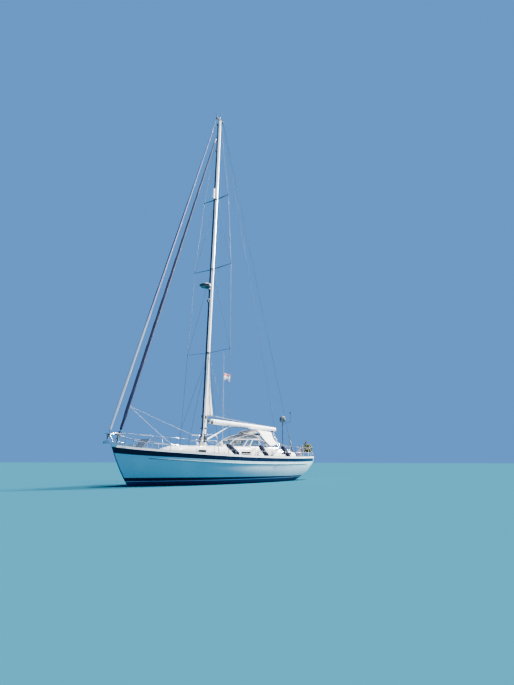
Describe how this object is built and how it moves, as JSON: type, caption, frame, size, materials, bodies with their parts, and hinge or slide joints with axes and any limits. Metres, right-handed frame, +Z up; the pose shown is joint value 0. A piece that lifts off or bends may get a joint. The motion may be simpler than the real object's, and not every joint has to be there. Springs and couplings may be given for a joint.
{
  "type": "cruising sailing yacht",
  "caption": "Centre-cockpit cruising sloop afloat with furled headsails, swinging boom, steered rudder, turning propeller, opening hatches and door.",
  "frame": {"origin": "on the centreline at the waterline amidships, where the water holds the boat", "axes": "+X forward, +Y to port, +Z up along the mast"},
  "size_m": [15.3574, 4.372, 23.6786],
  "materials": {
    "hull_gelcoat": "white gelcoat with a navy sheer band, a thin white line, a navy boot stripe and dark blue bottom paint",
    "white_gelcoat": "white gelcoat",
    "bottom_paint": "dark blue antifouling",
    "teak": "laid teak with dark caulking, sun bleached",
    "varnished_wood": "varnished",
    "tinted_glass": "tinted, gloss",
    "smoked_acrylic": "smoked acrylic in a pale frame",
    "grey_canvas": "woven acrylic canvas",
    "clear_vinyl": "clear vinyl sheet, slightly hazy",
    "white_canvas": "woven acrylic canvas",
    "navy_sailcloth": "sun strip of a furled sail",
    "pink_sailcloth": "furled light sail with pink, violet and white bands",
    "navy_vinyl": "fender sock",
    "yellow_foam": "buoyancy cover",
    "flag_cloth": "woven bunting",
    "white_alloy": "white paint",
    "dark_alloy": "dark anodised",
    "stainless": "polished",
    "rigging_wire": "twisted wire",
    "bronze": "bronze",
    "engine_paint": "engine enamel",
    "white_plastic": "moulded"
  },
  "bodies": {
    "hull": {"hull": "hull_gelcoat", "keel": "bottom_paint", "skeg": "bottom_paint", "propeller_shaft": "bronze", "deck": "teak", "cap_rail": "white_gelcoat", "coachroof": "white_gelcoat", "coachroof_glass": "tinted_glass", "aft_coachroof": "white_gelcoat", "aft_coachroof_glass": "tinted_glass", "cockpit_coaming": "white_gelcoat", "windscreen_frame": "white_alloy", "windscreen_glass": "tinted_glass", "sprayhood": "grey_canvas", "sprayhood_window": "clear_vinyl", "sprayhood_bow": "stainless", "bimini": "white_canvas", "bimini_frame": "stainless", "pedestal": "white_gelcoat", "engine_block": "engine_paint", "fore_hatch_frame": "white_alloy", "windlass": "stainless", "bow_platform": "stainless", "mast_hoop": "stainless", "pulpit": "stainless", "pushpit": "stainless", "guard_rail_port": "stainless", "guard_rail_starboard": "stainless", "mast": "white_alloy", "spreaders_lower": "dark_alloy", "spreaders_middle": "dark_alloy", "spreaders_upper": "dark_alloy", "masthead": "dark_alloy", "radome": "white_plastic", "radar_reflector": "white_plastic", "shrouds_port": "rigging_wire", "shrouds_starboard": "rigging_wire", "furler_drum": "dark_alloy", "genoa_furled": "navy_sailcloth", "outer_sail_furled": "pink_sailcloth", "backstay": "rigging_wire", "winch_port": "stainless", "winch_starboard": "stainless", "antenna_pole": "stainless", "antenna_dome": "white_plastic", "fender_1": "navy_vinyl", "fender_2": "navy_vinyl", "fender_3": "navy_vinyl", "lifebuoy": "yellow_foam", "ensign_staff": "varnished_wood", "courtesy_flag": "flag_cloth"},
    "rudder": {"rudder": "bottom_paint"},
    "wheel": {"steering_wheel": "stainless"},
    "propeller": {"propeller": "bronze"},
    "boom": {"boom": "white_alloy", "gooseneck": "dark_alloy", "vang": "white_alloy"},
    "fore_hatch": {"fore_hatch_lid": "smoked_acrylic"},
    "companion_hatch": {"companion_hatch": "smoked_acrylic"},
    "companion_door": {"companion_door": "varnished_wood"}
  },
  "joints": [
    {"name": "wheel_turn", "type": "hinge", "parent": "hull", "child": "wheel", "pos_m": [-2.72, 0, 1.6], "axis": [1, 0, 0], "range_deg": [-350, 350]},
    {"name": "rudder_turn", "type": "hinge", "parent": "hull", "child": "rudder", "pos_m": [-5.56, 0, -0.3], "axis": [0, 0, 1], "range_deg": [-35, 35]},
    {"name": "propeller_spin", "type": "hinge", "parent": "hull", "child": "propeller", "pos_m": [-4.29, 0, -0.735], "axis": [-0.9922, 0, -0.1249], "continuous": true},
    {"name": "boom_swing", "type": "hinge", "parent": "hull", "child": "boom", "pos_m": [1.35459, 0, 3.13], "axis": [-0.0426, 0, 0.9991], "range_deg": [-70, 70]},
    {"name": "fore_hatch_lift", "type": "hinge", "parent": "hull", "child": "fore_hatch", "pos_m": [5.962, 0, 1.658], "axis": [0, 1, 0], "range_deg": [-40, 55]},
    {"name": "companion_hatch_slide", "type": "slide", "parent": "hull", "child": "companion_hatch", "axis": [1, 0, 0], "range_m": [0, 0.58]},
    {"name": "companion_door_swing", "type": "hinge", "parent": "hull", "child": "companion_door", "pos_m": [-0.7985, 0.345, 1.2], "axis": [0, 0, 1], "range_deg": [-95, 0]}
  ],
  "couplings": [
    {"joint": "rudder_turn", "follows": "wheel_turn", "ratio": 0.1}
  ]
}
